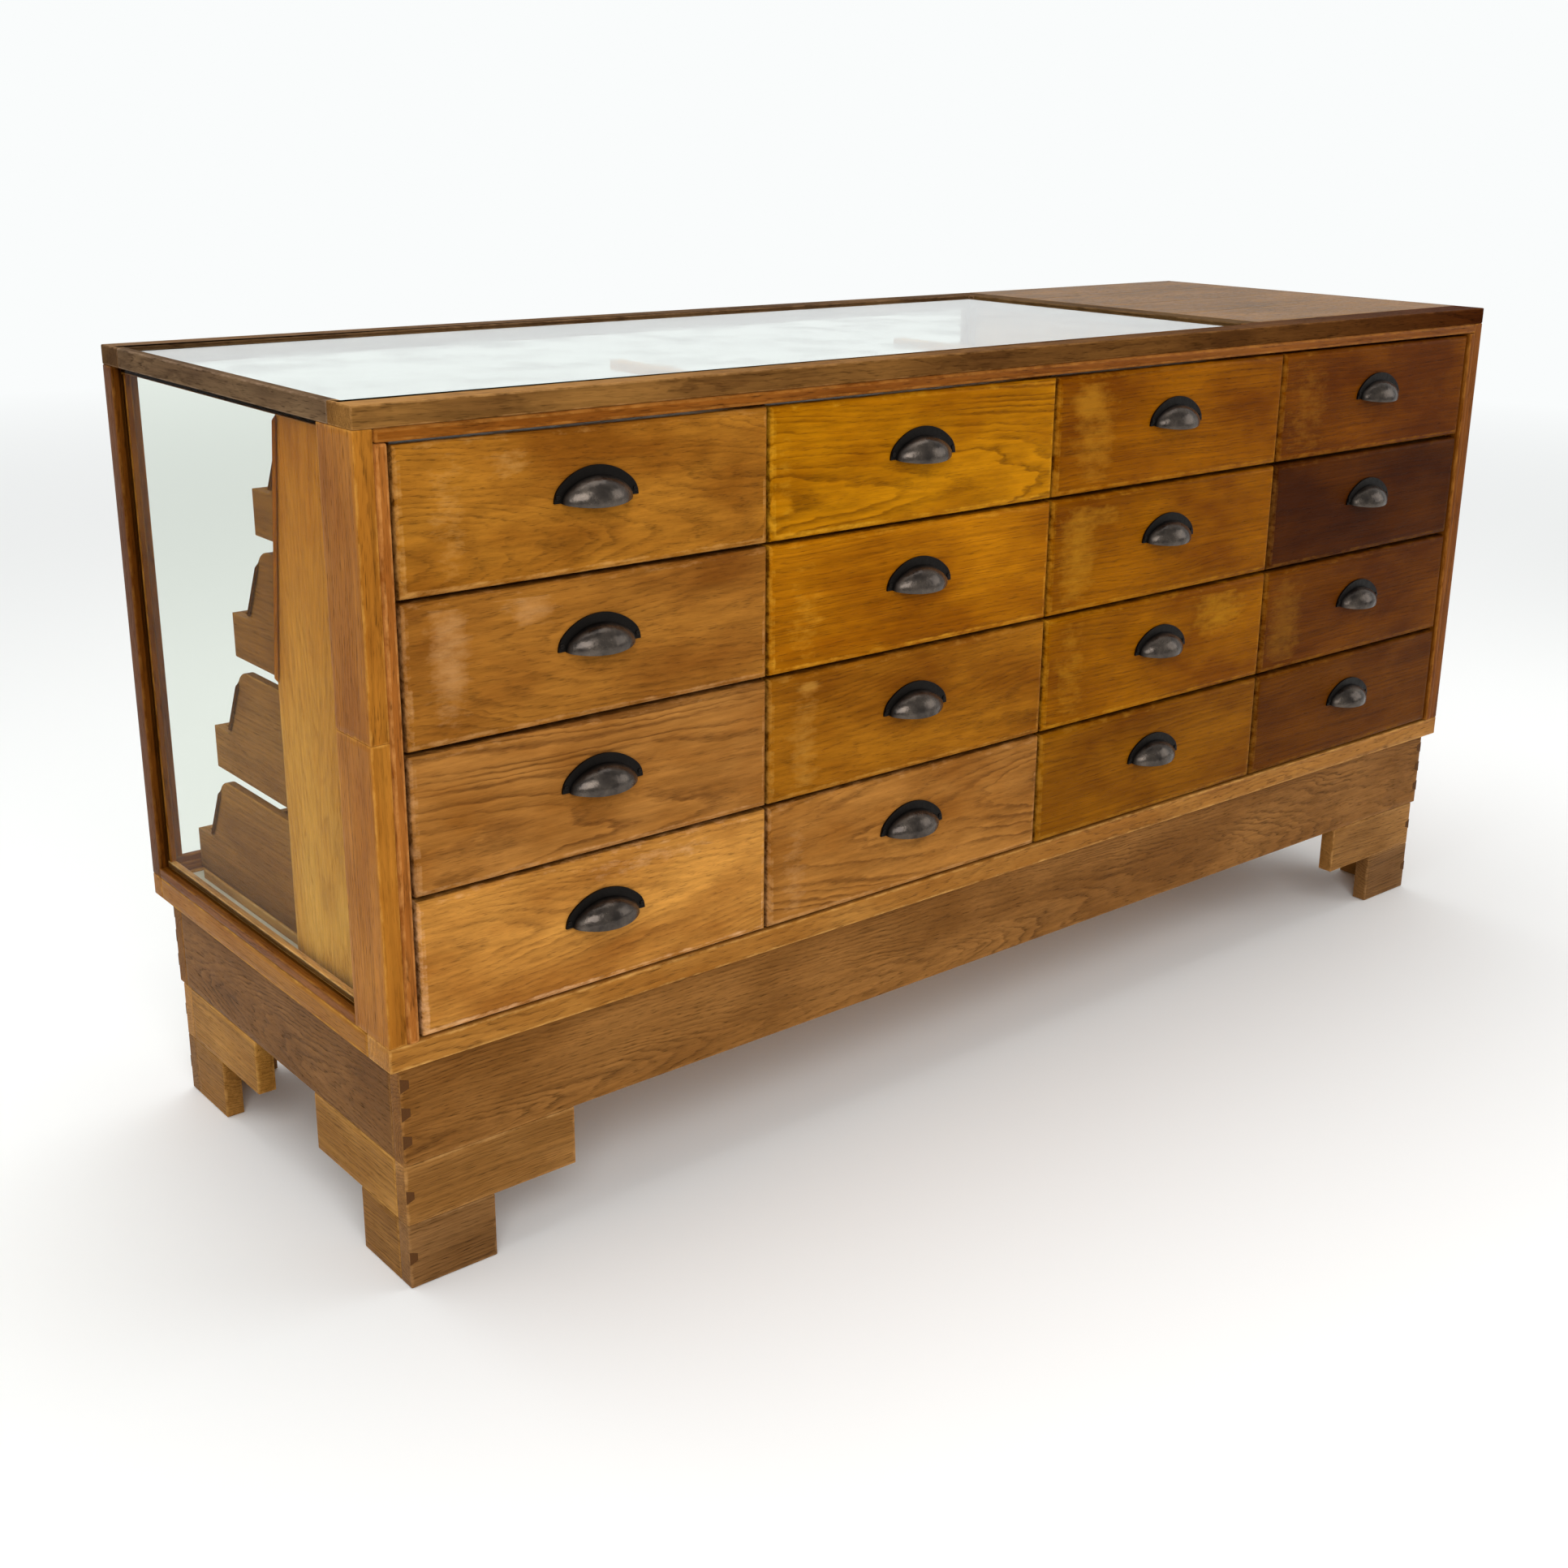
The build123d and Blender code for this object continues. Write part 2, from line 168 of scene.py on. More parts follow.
def timber(name, tones, ring, figure, pores=0.6, polish=0.26, shine=0.08):
    """Wood sawn from a trunk and polished.

    The grain_place on each corner says where the wood lay in its trunk, with x along the trunk. The tones are the two
    that the polish drifts between, the dark edge of a growth ring, the open vessels, which also colour grime and the
    painted shade in the gaps round the drawer fronts, and the wood where the polish is rubbed off, which also colours
    painted highlights and reflections on the drawer fronts. ring is the growth rings' spacing, figure and pores are
    how clearly the rings and the vessels show, polish is how rough the polish is, and shine is how strongly it
    reflects."""
    ground, deep, line, pore, bare_and_painted_light = (colour(tone) for tone in tones)
    material, tree = blank(name)
    place = add(tree, "ShaderNodeAttribute", attribute_name="grain_place", output="Vector")
    wear_and_highlight = add(tree, "ShaderNodeAttribute", attribute_name="wear_and_highlight", output="Fac")
    rub_grime_and_painted_light = add(tree, "ShaderNodeAttribute", attribute_name="rub_grime_and_painted_light", output="Fac")
    stain = add(tree, "ShaderNodeAttribute", attribute_name="stain", output="Vector")

    # Growth rings: the distance from the pith, bent by slow waves in the trunk and by a ripple of a few mm.
    slow = noise(tree, place, (3, 16, 16), 1, output="Color")
    quick = noise(tree, place, (34, 120, 120), 2, output="Color")
    bent = add(tree, "ShaderNodeVectorMath", {0: slow, 1: (0, 0.030, 0.030), 2: place}, operation="MULTIPLY_ADD")
    bent = add(tree, "ShaderNodeVectorMath", {0: quick, 1: (0, 0.005, 0.005), 2: bent}, operation="MULTIPLY_ADD")
    across = add(tree, "ShaderNodeVectorMath", {0: bent, 1: (0, 1, 1)}, operation="MULTIPLY")
    reach = add(tree, "ShaderNodeVectorMath", {0: across}, operation="LENGTH", output="Value")
    years = add(tree, "ShaderNodeTexNoise", {"W": reach, "Scale": 60, "Detail": 1}, noise_dimensions="1D")
    years = add(tree, "ShaderNodeMath", {0: years, 1: 2.6}, operation="MULTIPLY")
    count = add(tree, "ShaderNodeMath", {0: reach, 1: 1 / ring, 2: years}, operation="MULTIPLY_ADD")
    phase = add(tree, "ShaderNodeMath", {0: count}, operation="FRACT")
    edge = add(tree, "ShaderNodeValToRGB", {"Fac": phase})
    ramp = tree.nodes[-1].color_ramp
    for at, grey in ring_profile:
        stop = ramp.elements[0] if at == 0 else ramp.elements[-1] if at == 1 else ramp.elements.new(at)
        stop.position = at
        stop.color = (grey, grey, grey, 1)
    fade = noise(tree, place, (6, 26, 26), 2, shift=(3, 1, 7))
    limits = {"From Min": 0.38, "From Max": 0.62, "To Min": 0.22, "To Max": 1}
    fade = add(tree, "ShaderNodeMapRange", {"Value": fade} | limits)
    lines = add(tree, "ShaderNodeMath", {0: edge, 1: fade}, operation="MULTIPLY")

    # Vessels are 0.3 mm wide in oak. They are drawn 1 mm wide and 15 mm long, to show at all.
    vessels = noise(tree, place, (65, 950, 950), 1)
    vessels = add(tree, "ShaderNodeMapRange", {"Value": vessels, "From Min": 0.52, "From Max": 0.70})
    crowd = add(tree, "ShaderNodeMath", {0: edge, 1: 0.7, 2: 0.3}, operation="MULTIPLY_ADD")
    vessels = add(tree, "ShaderNodeMath", {0: vessels, 1: crowd}, operation="MULTIPLY")
    streak = noise(tree, place, (5, 240, 240), 3)
    limits = {"From Min": 0.3, "From Max": 0.7, "To Min": 0.84, "To Max": 1.14}
    streak = add(tree, "ShaderNodeMapRange", {"Value": streak} | limits)

    # The polish lies thicker in some places than in others, in clouds 50 to 200 mm across.
    cloud = noise(tree, place, (5, 11, 11), 3, roughness=0.6, shift=(5, 2, 1))
    cloud = add(tree, "ShaderNodeMapRange", {"Value": cloud, "From Min": 0.36, "From Max": 0.64})
    tone = mix(tree, cloud, ground, deep)
    share = add(tree, "ShaderNodeMath", {0: lines, 1: figure}, operation="MULTIPLY")
    tone = mix(tree, share, tone, line)
    share = add(tree, "ShaderNodeMath", {0: vessels, 1: pores}, operation="MULTIPLY")
    tone = mix(tree, share, tone, pore)
    tone = add(tree, "ShaderNodeVectorMath", {0: tone, 1: stain}, operation="MULTIPLY")
    tone = add(tree, "ShaderNodeVectorMath", {0: tone, "Scale": streak}, operation="SCALE")

    # Rubbed and grimy places, broken up by a grit of a few mm, and arrises that hands have worn pale. On the drawer
    # fronts the same masks also paint shade dark in the gaps round each front, pale reflections of a tall light on
    # the polish, and a pale highlight on the left and lower edges.
    grit = noise(tree, place, (45, 95, 95), 5, roughness=0.65)
    patchy = add(tree, "ShaderNodeMath", {0: grit, 1: 0.9, 2: rub_grime_and_painted_light}, operation="MULTIPLY_ADD")
    pale = add(tree, "ShaderNodeMapRange", {"Value": patchy, "From Min": 0.62, "From Max": 1.05})
    grime_and_shade = add(tree, "ShaderNodeMapRange", {"Value": patchy, "From Min": 0.28, "From Max": -0.15})
    worn_and_highlit = add(tree, "ShaderNodeMath", {0: wear_and_highlight, 1: grit}, operation="MULTIPLY")
    worn_and_highlit = add(tree, "ShaderNodeMapRange", {"Value": worn_and_highlit, "From Min": 0.38, "From Max": 0.66})
    soak, undyed = (0.85, 0.85, 0.85), (0.15, 0.15, 0.15)
    soaked = add(tree, "ShaderNodeVectorMath", {0: stain, 1: soak, 2: undyed}, operation="MULTIPLY_ADD")
    pale_tone = add(tree, "ShaderNodeVectorMath", {0: soaked, 1: bare_and_painted_light[:3]}, operation="MULTIPLY")
    # Pale places: rubbed polish, and on the drawer fronts painted reflections of a tall light.
    share = add(tree, "ShaderNodeMath", {0: pale, 1: 0.55}, operation="MULTIPLY")
    tone = mix(tree, share, tone, pale_tone)
    # Dark places: grime, and round the drawer fronts' edges painted shade.
    share = add(tree, "ShaderNodeMath", {0: grime_and_shade, 1: 0.7}, operation="MULTIPLY")
    tone = mix(tree, share, tone, pore)
    # Pale arrises: wear, and on the drawer fronts' left and lower edges a painted highlight.
    share = add(tree, "ShaderNodeMath", {0: worn_and_highlit, 1: 0.6}, operation="MULTIPLY")
    tone = mix(tree, share, tone, pale_tone)

    # The polish shines least in open vessels, where it has gone, and on the painted highlights and reflections.
    pale_share = add(tree, "ShaderNodeMath", {0: pale, 1: worn_and_highlit}, operation="MAXIMUM")
    rough = add(tree, "ShaderNodeMapRange", {"Value": pale_share, "To Min": polish, "To Max": bare_roughness})
    rough = add(tree, "ShaderNodeMath", {0: grit, 1: 0.16, 2: rough}, operation="MULTIPLY_ADD")
    rough = add(tree, "ShaderNodeMath", {0: vessels, 1: 0.2, 2: rough}, operation="MULTIPLY_ADD")
    hollow = add(tree, "ShaderNodeMath", {0: lines, 1: 0.35, 2: vessels}, operation="MULTIPLY_ADD")
    hollow = add(tree, "ShaderNodeMath", {0: hollow, 1: -1}, operation="MULTIPLY")
    fine = add(tree, "ShaderNodeBump", {"Height": hollow, "Strength": 0.5, "Distance": 0.0005})
    uneven = noise(tree, place, (9, 22, 22), 2)
    normal = add(tree, "ShaderNodeBump", {"Height": uneven, "Strength": 0.45, "Distance": 0.004, "Normal": fine})
    links = {"Base Color": tone, "Roughness": rough, "Normal": normal}
    links |= {"IOR": 1.5, "Specular IOR Level": shine, "Specular Tint": colour("#F0AE58")}
    surface = add(tree, "ShaderNodeBsdfPrincipled", links)
    add(tree, "ShaderNodeOutputMaterial", {"Surface": surface})
    return material


# French-polished oak of the drawer fronts: amber, glossy, with faint growth rings and rubbed patches.
polished_oak = timber(
    "french_polished_oak",
    ("#AC7022", "#824C12", "#4E2A0A", "#2E1705", "#CE9852"),
    ring=0.0050, figure=0.32, pores=0.4, shine=0.03,
)
# A few fronts are cut from the middle of the log, with bold arches.
figured_oak = timber(
    "french_polished_figured_oak",
    ("#B0742A", "#8C5416", "#522A0A", "#2E1705", "#CE9852"),
    ring=0.0075, figure=0.6, pores=0.35, shine=0.03,
)
# The same oak on the carcase, where the polish is thinner and more handled.
carcase_oak = timber(
    "varnished_oak",
    ("#A66E2E", "#8C561E", "#56300F", "#321A07", "#CC9650"),
    ring=0.0034, figure=0.4, polish=0.36,
)
# Oak of the top frame: years of hands and cleaning have taken the polish and let the dirt in.
top_oak = timber(
    "worn_top_oak",
    ("#7C5226", "#5A3A18", "#3A220E", "#201206", "#AE8252"),
    ring=0.0030, figure=0.5, polish=0.42, shine=0.3,
)
# The rails at the back and the sides of the top, which nobody leans on, are dark with old polish and grime.
rail_oak = timber(
    "grimy_rail_oak",
    ("#5E4426", "#46301A", "#2E1C0C", "#1C1006", "#7E6040"),
    ring=0.0030, figure=0.5, polish=0.55, shine=0.01,
)
# Plinth and feet: dull brown varnish with kicks and dust.
plinth_oak = timber(
    "dull_plinth_oak",
    ("#8C6030", "#724A20", "#4A2C10", "#2A1808", "#A67844"),
    ring=0.0036, figure=0.55, polish=0.46,
)
# Inside: thinly varnished softwood, pale and yellow, with soft wide rings.
inner_pine = timber(
    "thin_varnished_pine",
    ("#C8944E", "#B47C34", "#9C6426", "#84541E", "#D8B478"),
    ring=0.0060, figure=0.35, polish=0.45,
)
# Drawer boxes: stained hardwood, browner and duller than the fronts.
box_wood = timber(
    "stained_drawer_wood",
    ("#86602F", "#704C22", "#563818", "#38240F", "#A67E48"),
    ring=0.0050, figure=0.3, polish=0.50,
)


def lining_paper():
    """Lining paper on the case's floor: matt, grey-beige, faded and a little soiled."""
    material, tree = blank("faded_lining_paper")
    place = add(tree, "ShaderNodeTexCoord", output="Object")
    stains = add(tree, "ShaderNodeTexNoise", {"Vector": place, "Scale": 7, "Detail": 6, "Roughness": 0.6})
    stains = add(tree, "ShaderNodeMapRange", {"Value": stains, "From Min": 0.3, "From Max": 0.7})
    tone = mix(tree, stains, colour("#D8D2C4"), colour("#C0B7A4"))
    # The paper's fibres are drawn 1.5 mm long.
    fibre = add(tree, "ShaderNodeTexNoise", {"Vector": place, "Scale": 700, "Detail": 3})
    rough = add(tree, "ShaderNodeMapRange", {"Value": fibre, "To Min": 0.75, "To Max": 0.95})
    normal = add(tree, "ShaderNodeBump", {"Height": fibre, "Strength": 0.3, "Distance": 0.0004})
    surface = add(tree, "ShaderNodeBsdfPrincipled", {"Base Color": tone, "Roughness": rough, "Normal": normal})
    add(tree, "ShaderNodeOutputMaterial", {"Surface": surface})
    return material


def end_grain():
    """Sawn end grain of the joints: dark, dry and close-pored, because it drinks the stain."""
    material, tree = blank("dark_oak_end_grain")
    place = add(tree, "ShaderNodeTexCoord", output="Object")
    pores = add(tree, "ShaderNodeTexNoise", {"Vector": place, "Scale": 900, "Detail": 2})
    tone = mix(tree, pores, colour("#4A2C12"), colour("#603C1A"))
    rough = add(tree, "ShaderNodeMapRange", {"Value": pores, "To Min": 0.55, "To Max": 0.8})
    normal = add(tree, "ShaderNodeBump", {"Height": pores, "Strength": 0.4, "Distance": 0.0003})
    links = {"Base Color": tone, "Roughness": rough, "Normal": normal, "Specular IOR Level": 0.1}
    surface = add(tree, "ShaderNodeBsdfPrincipled", links)
    add(tree, "ShaderNodeOutputMaterial", {"Surface": surface})
    return material


def pull_bronze():
    """Cast brass, chemically bronzed: browner and bright on the cup, and dull on the flange, which is painted black
    as painted shade for the dark that it reflects.
    """
    material, tree = blank("bronzed_cast_brass")
    place = add(tree, "ShaderNodeTexCoord", output="Object")
    out = add(tree, "ShaderNodeSeparateXYZ", {"Vector": place}, output="Y")
    flange = {"Value": out, "From Min": corner.y - 0.005, "From Max": corner.y - 0.014}
    paler_part = add(tree, "ShaderNodeMapRange", flange)
    patch = add(tree, "ShaderNodeTexNoise", {"Vector": place, "Scale": 55, "Detail": 5, "Roughness": 0.6})
    patch = add(tree, "ShaderNodeMapRange", {"Value": patch, "From Min": 0.35, "From Max": 0.7})
    tone = mix(tree, patch, colour("#3A3430"), colour("#62584F"))
    # Painted shade: the flange is made near-black for the dark that it reflects, and the cup keeps the paler tone.
    tone = mix(tree, paler_part, colour("#14100D"), tone)
    # Casting grain, a third of a millimetre, and the soft dents of use.
    grain = add(tree, "ShaderNodeTexNoise", {"Vector": place, "Scale": 1500, "Detail": 2})
    dents = add(tree, "ShaderNodeTexNoise", {"Vector": place, "Scale": 130, "Detail": 2})
    rough = add(tree, "ShaderNodeMapRange", {"Value": patch, "To Min": 0.11, "To Max": 0.27})
    rough = add(tree, "ShaderNodeMath", {0: paler_part, 1: -0.25, 2: rough}, operation="MULTIPLY_ADD")
    rough = add(tree, "ShaderNodeMath", {0: rough, 1: 0.25}, operation="ADD")
    rough = add(tree, "ShaderNodeMath", {0: grain, 1: 0.1, 2: rough}, operation="MULTIPLY_ADD")
    normal = add(tree, "ShaderNodeBump", {"Height": grain, "Strength": 0.25, "Distance": 0.0002})
    normal = add(tree, "ShaderNodeBump", {"Height": dents, "Strength": 0.35, "Distance": 0.0012, "Normal": normal})
    links = {"Base Color": tone, "Roughness": rough, "Normal": normal, "Metallic": 0.85}
    surface = add(tree, "ShaderNodeBsdfPrincipled", links)
    add(tree, "ShaderNodeOutputMaterial", {"Surface": surface})
    return material


def window_glass(name, tint, smear, bend):
    """Old drawn sheet or plate glass: clear, faintly green, with slight waves and a film of dust. bend is the
    index of refraction, and a low one keeps the pale room from showing in the pane."""
    material, tree = blank(name)
    place = add(tree, "ShaderNodeTexCoord", output="Object")
    waves = add(tree, "ShaderNodeTexNoise", {"Vector": place, "Scale": 6, "Detail": 1})
    film = add(tree, "ShaderNodeTexNoise", {"Vector": place, "Scale": 14, "Detail": 6, "Roughness": 0.65})
    rough = add(tree, "ShaderNodeMapRange", {"Value": film, "From Min": 0.4, "From Max": 0.8, "To Max": smear})
    normal = add(tree, "ShaderNodeBump", {"Height": waves, "Strength": 0.2, "Distance": 0.0006})
    links = {"Base Color": colour(tint), "Roughness": rough, "Normal": normal, "IOR": bend}
    links |= {"Transmission Weight": 1.0}
    pane = add(tree, "ShaderNodeBsdfPrincipled", links)
    # Lamps shine straight through a thin pane.
    lamp = add(tree, "ShaderNodeLightPath", output="Is Shadow Ray")
    clear = add(tree, "ShaderNodeBsdfTransparent", {"Color": colour(tint)})
    surface = add(tree, "ShaderNodeMixShader", {0: lamp, 1: pane, 2: clear})
    add(tree, "ShaderNodeOutputMaterial", {"Surface": surface})
    return material


paper = lining_paper()
dark_end = end_grain()
bronze = pull_bronze()
plate_glass = window_glass("polished_plate_glass", "#EEF6F1", 0.10, 1.52)
sheet_glass = window_glass("drawn_sheet_glass", "#F3F6F2", 0.04, 1.05)

# Each finish is paired with the name of a material slot.
plinth_wood = (plinth_oak, "plinth_oak")
joint_wood = (dark_end, "plinth_oak")
carcase_wood = (carcase_oak, "carcase_oak")
till_wood = (top_oak, "top_oak")
rail_wood = (rail_oak, "top_oak")
inner_wood = (inner_pine, "inner_pine")
floor_paper = (paper, "inner_pine")
plain_front = (polished_oak, "drawer_oak")
bold_front = (figured_oak, "drawer_oak")
drawer_box = (box_wood, "drawer_oak")
drawer_bottom = (inner_pine, "drawer_oak")


# ---- joinery ----
def block(name, low, high):
    """Adds a block between two corners, with its place in its mesh."""
    bpy.ops.object.select_all(action="DESELECT")
    bpy.ops.mesh.primitive_cube_add(size=1, location=(low + high) / 2)
    piece = bpy.context.object
    piece.name = name
    piece.data.name = name
    piece.scale = high - low
    bpy.ops.object.transform_apply(location=True, rotation=True, scale=True)
    return piece


def pick(piece, kind, wanted):
    """Selects the piece's faces or edges whose middle and direction pass a test, and stays in edit mode."""
    bpy.ops.object.mode_set(mode="EDIT")
    bpy.ops.mesh.select_mode(type=kind)
    bpy.ops.mesh.select_all(action="DESELECT")
    bpy.ops.object.mode_set(mode="OBJECT")
    mesh = piece.data
    if kind == "FACE":
        for face in mesh.polygons:
            face.select = wanted(face.center, face.normal, face)
    else:
        for edge in mesh.edges:
            a, b = (mesh.vertices[v].co for v in edge.vertices)
            edge.select = wanted((a + b) / 2, (b - a).normalized(), edge)
    bpy.ops.object.mode_set(mode="EDIT")


def parted(place, normal):
    """Parts the faces of the piece in hand along a plane."""
    bpy.ops.object.mode_set(mode="EDIT")
    bpy.ops.mesh.select_all(action="SELECT")
    bpy.ops.mesh.bisect(plane_co=place, plane_no=normal)
    bpy.ops.object.mode_set(mode="OBJECT")


def extruded(rise):
    """Extrudes the picked faces upwards, and leaves edit mode."""
    bpy.ops.mesh.extrude_region_move(TRANSFORM_OT_translate={"value": (0, 0, rise)})
    bpy.ops.object.mode_set(mode="OBJECT")


def merged(degrees):
    """Merges the faces of the piece in hand that lie flat with each other."""
    bpy.ops.object.mode_set(mode="EDIT")
    bpy.ops.mesh.select_mode(type="FACE")
    bpy.ops.mesh.select_all(action="SELECT")
    bpy.ops.mesh.dissolve_limited(angle_limit=math.radians(degrees))
    bpy.ops.object.mode_set(mode="OBJECT")


def write(piece, name, values, kind="FLOAT"):
    """Writes an attribute on every corner of a piece."""
    data = piece.data.attributes.new(name, kind, "POINT").data
    data.foreach_set("value" if kind == "FLOAT" else "vector", values)


def near(a, b):
    return abs(a - b) < 2e-5


def breadth(piece, face):
    """The shorter side of a flat face."""
    points = [piece.data.vertices[v].co for v in face.vertices]
    spans = sorted(max(p[i] for p in points) - min(p[i] for p in points) for i in range(3))
    return spans[1]


def ease(piece, arris, rim):
    """Rounds the sharp arrises and draws a rim inside each flat face, so that wear fades from the arrises over it."""
    bpy.ops.object.mode_set(mode="EDIT")
    bpy.ops.mesh.select_mode(type="EDGE")
    bpy.ops.mesh.select_all(action="DESELECT")
    bpy.ops.mesh.edges_select_sharp(sharpness=math.radians(35))
    bpy.ops.mesh.bevel(offset=arris, segments=2, affect="EDGES")
    bpy.ops.object.mode_set(mode="OBJECT")
    mesh = piece.data
    write(piece, "wear_and_highlight", [1.0] * len(mesh.vertices))
    # Slim faces first, with a narrower rim, and then the wide ones.
    for least, most in ((2.2 * arris, 3 * rim), (3 * rim, 99)):
        widths = [breadth(piece, face) for face in mesh.polygons]
        chosen = {i for i, width in enumerate(widths) if least < width <= most}
        if not chosen:
            continue
        inset = min(rim, 0.3 * min(widths[i] for i in chosen))
        pick(piece, "FACE", lambda middle, normal, face: face.index in chosen)
        bpy.ops.mesh.inset(thickness=inset, use_individual=True)
        bpy.ops.object.mode_set(mode="OBJECT")
        for face in mesh.polygons:
            if face.select:
                for v in face.vertices:
                    mesh.attributes["wear_and_highlight"].data[v].value = 0


def lay_grain(piece, along, seed, figure="crown"):
    """Writes on each corner where its wood lay in the trunk, in metres, with x along the trunk.

    crown is a board sawn past the heart, whose rings make arches; straight is one sawn towards it."""
    mesh = piece.data
    rng = Random(seed)
    points = [v.co for v in mesh.vertices]
    low = [min(p[i] for p in points) for i in range(3)]
    high = [max(p[i] for p in points) for i in range(3)]
    middle = [(a + b) / 2 for a, b in zip(low, high)]
    thick, wide = sorted((i for i in range(3) if i != along), key=lambda i: high[i] - low[i])
    breadth_of = high[wide] - low[wide]
    shift = rng.uniform(0, 9)
    if figure == "crown":
        aside = rng.uniform(-0.25, 0.25) * breadth_of
        from_pith = rng.uniform(0.035, 0.07)
        lean = rng.choice((-1, 1)) * rng.uniform(0.05, 0.11)
    else:
        aside = rng.choice((-1, 1)) * (0.12 + breadth_of / 2 + rng.uniform(0, 0.08))
        from_pith = rng.uniform(0.02, 0.05)
        lean = rng.uniform(-0.03, 0.03)
    values = []
    for p in points:
        run = p[along] - middle[along]
        values += (
            run + shift,
            p[wide] - middle[wide] + aside,
            p[thick] - middle[thick] + from_pith + lean * run,
        )
    write(piece, "grain_place", values, "FLOAT_VECTOR")


def tint(piece, tone=(1, 1, 1), far=None, axis=0):
    """Writes the stain that colours this board, as a share of the material's own tones. far is the stain at the
    end of the axis, where the stain changes along the board."""
    mesh = piece.data
    ways = [v.co[axis] for v in mesh.vertices]
    low, span = min(ways), max(ways) - min(ways)
    values = []
    for way in ways:
        values += [a + (b - a) * (way - low) / span for a, b in zip(tone, far or tone)]
    write(piece, "stain", values, "FLOAT_VECTOR")


def rub_top(piece, left, right):
    """Rubs the polish off a board's top, more or less from its left end to its right."""
    points = [v.co for v in piece.data.vertices]
    high = max(p.z for p in points)
    low, far = min(p.x for p in points), max(p.x for p in points)
    values = [left + (right - left) * (p.x - low) / (far - low) if near(p.z, high) else 0 for p in points]
    write(piece, "rub_grime_and_painted_light", values)


def fit(piece, body, nodes, wood):
    """Gives a finished piece its material and its place in the model."""
    material, slot = wood
    bpy.ops.object.select_all(action="DESELECT")
    piece.select_set(True)
    bpy.context.view_layer.objects.active = piece
    bpy.ops.object.shade_smooth_by_angle(angle=math.radians(32))
    piece.data.materials.clear()
    piece.data.materials.append(material)
    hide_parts(*nodes)
    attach(piece, body)


boards_made = 0
plain_edges = (0.0014, 0.007)


def board(name, node, low, high, along, wood, figure="straight", tone=(1, 1, 1), edges=plain_edges, body="carcase"):
    """A plain board between two corners. edges are the rounding of its arrises and the width of their wear."""
    global boards_made
    boards_made += 1
    piece = block(name, low, high)
    ease(piece, *edges)
    lay_grain(piece, along, boards_made, figure)
    tint(piece, tone)
    fit(piece, body, [node], wood)
    return piece


# ---- plinth ----
for name in ("plinth_front", "plinth_back"):
    low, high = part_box(name)
    board(f"{name}_board", name, low, high, X, plinth_wood, "crown", (1.12, 1.08, 1.03))
low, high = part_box("plinth_ends")
for side, x in (("left", low.x), ("right", high.x - board_wall)):
    a, b = Vector((x, low.y, low.z)), Vector((x + board_wall, high.y, high.z))
    board(f"plinth_{side}_board", "plinth_ends", a, b, Y, plinth_wood, "crown", (0.86, 0.86, 0.94))

# ---- feet: an upper step of two boards, and a block of two shorter ones ----
foot_step = 0.074
foot_block = 0.103
foot_tones = {
    ("step", "face"): (1.46, 1.55, 1.70),
    ("step", "return"): (1.60, 1.70, 1.40),
    ("block", "face"): (0.95, 1.02, 1.35),
    ("block", "return"): (1.30, 1.36, 1.25),
}
for across in ("left", "right"):
    for deep in ("front", "back"):
        node = f"foot_{deep}_{across}"
        low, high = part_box(node)
        toward = 1 if across == "left" else -1
        inward = 1 if deep == "front" else -1
        outer = Vector((low.x if toward > 0 else high.x, low.y if inward > 0 else high.y, low.z))
        reach = high.x - low.x
        steps = (("step", reach, foot_step, high.z - low.z), ("block", foot_block, 0, foot_step))
        for part, run, bottom, top in steps:
            ends = [(0, 0, bottom), (run * toward, board_wall * inward, top)]
            returns = [(0, board_wall * inward, bottom), (board_wall * toward, run * inward, top)]
            for face, pair, along in (("face", ends, X), ("return", returns, Y)):
                a, b = (outer + Vector(p) for p in pair)
                a, b = Vector(map(min, a, b)), Vector(map(max, a, b))
                board(f"{node}_{part}_{face}", node, a, b, along, plinth_wood, "straight", foot_tones[part, face])

# ---- dovetails at the plinth's and the feet's corners, showing end grain on the front and the back ----
def dovetail(name, node, corner_at, toward, outward, z, tall, run):
    """A thin key of end grain let into the board's face, wider at the corner."""
    thin = 0.0004
    a = corner_at + Vector((0, outward * thin * 0.5, z))
    b = corner_at + Vector((toward * run, -outward * thin * 0.5, z + tall))
    piece = block(name, Vector(map(min, a, b)), Vector(map(max, a, b)))
    tip = corner_at.x + toward * run
    pick(piece, "FACE", lambda middle, normal, face: near(middle.x, tip))
    bpy.ops.transform.resize(value=(1, 1, 0.55))
    bpy.ops.object.mode_set(mode="OBJECT")
    fit(piece, "carcase", [node], joint_wood)


for deep, outward in (("front", -1), ("back", 1)):
    for across, toward in (("left", 1), ("right", -1)):
        joints = (
            ("plinth", f"plinth_{deep}", (0.020, 0.052, 0.084), 0.016, 0.010),
            ("foot", f"foot_{deep}_{across}", (0.028, 0.100), 0.015, 0.009),
        )
        for part, node, levels, tall, run in joints:
            low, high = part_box(node)
            at = Vector((low.x if toward > 0 else high.x, low.y if outward < 0 else high.y, low.z))
            for i, level in enumerate(levels):
                name = f"{part}_dovetail_{deep}_{across}_{i + 1}"
                dovetail(name, node, at, toward, outward, level, tall, run)

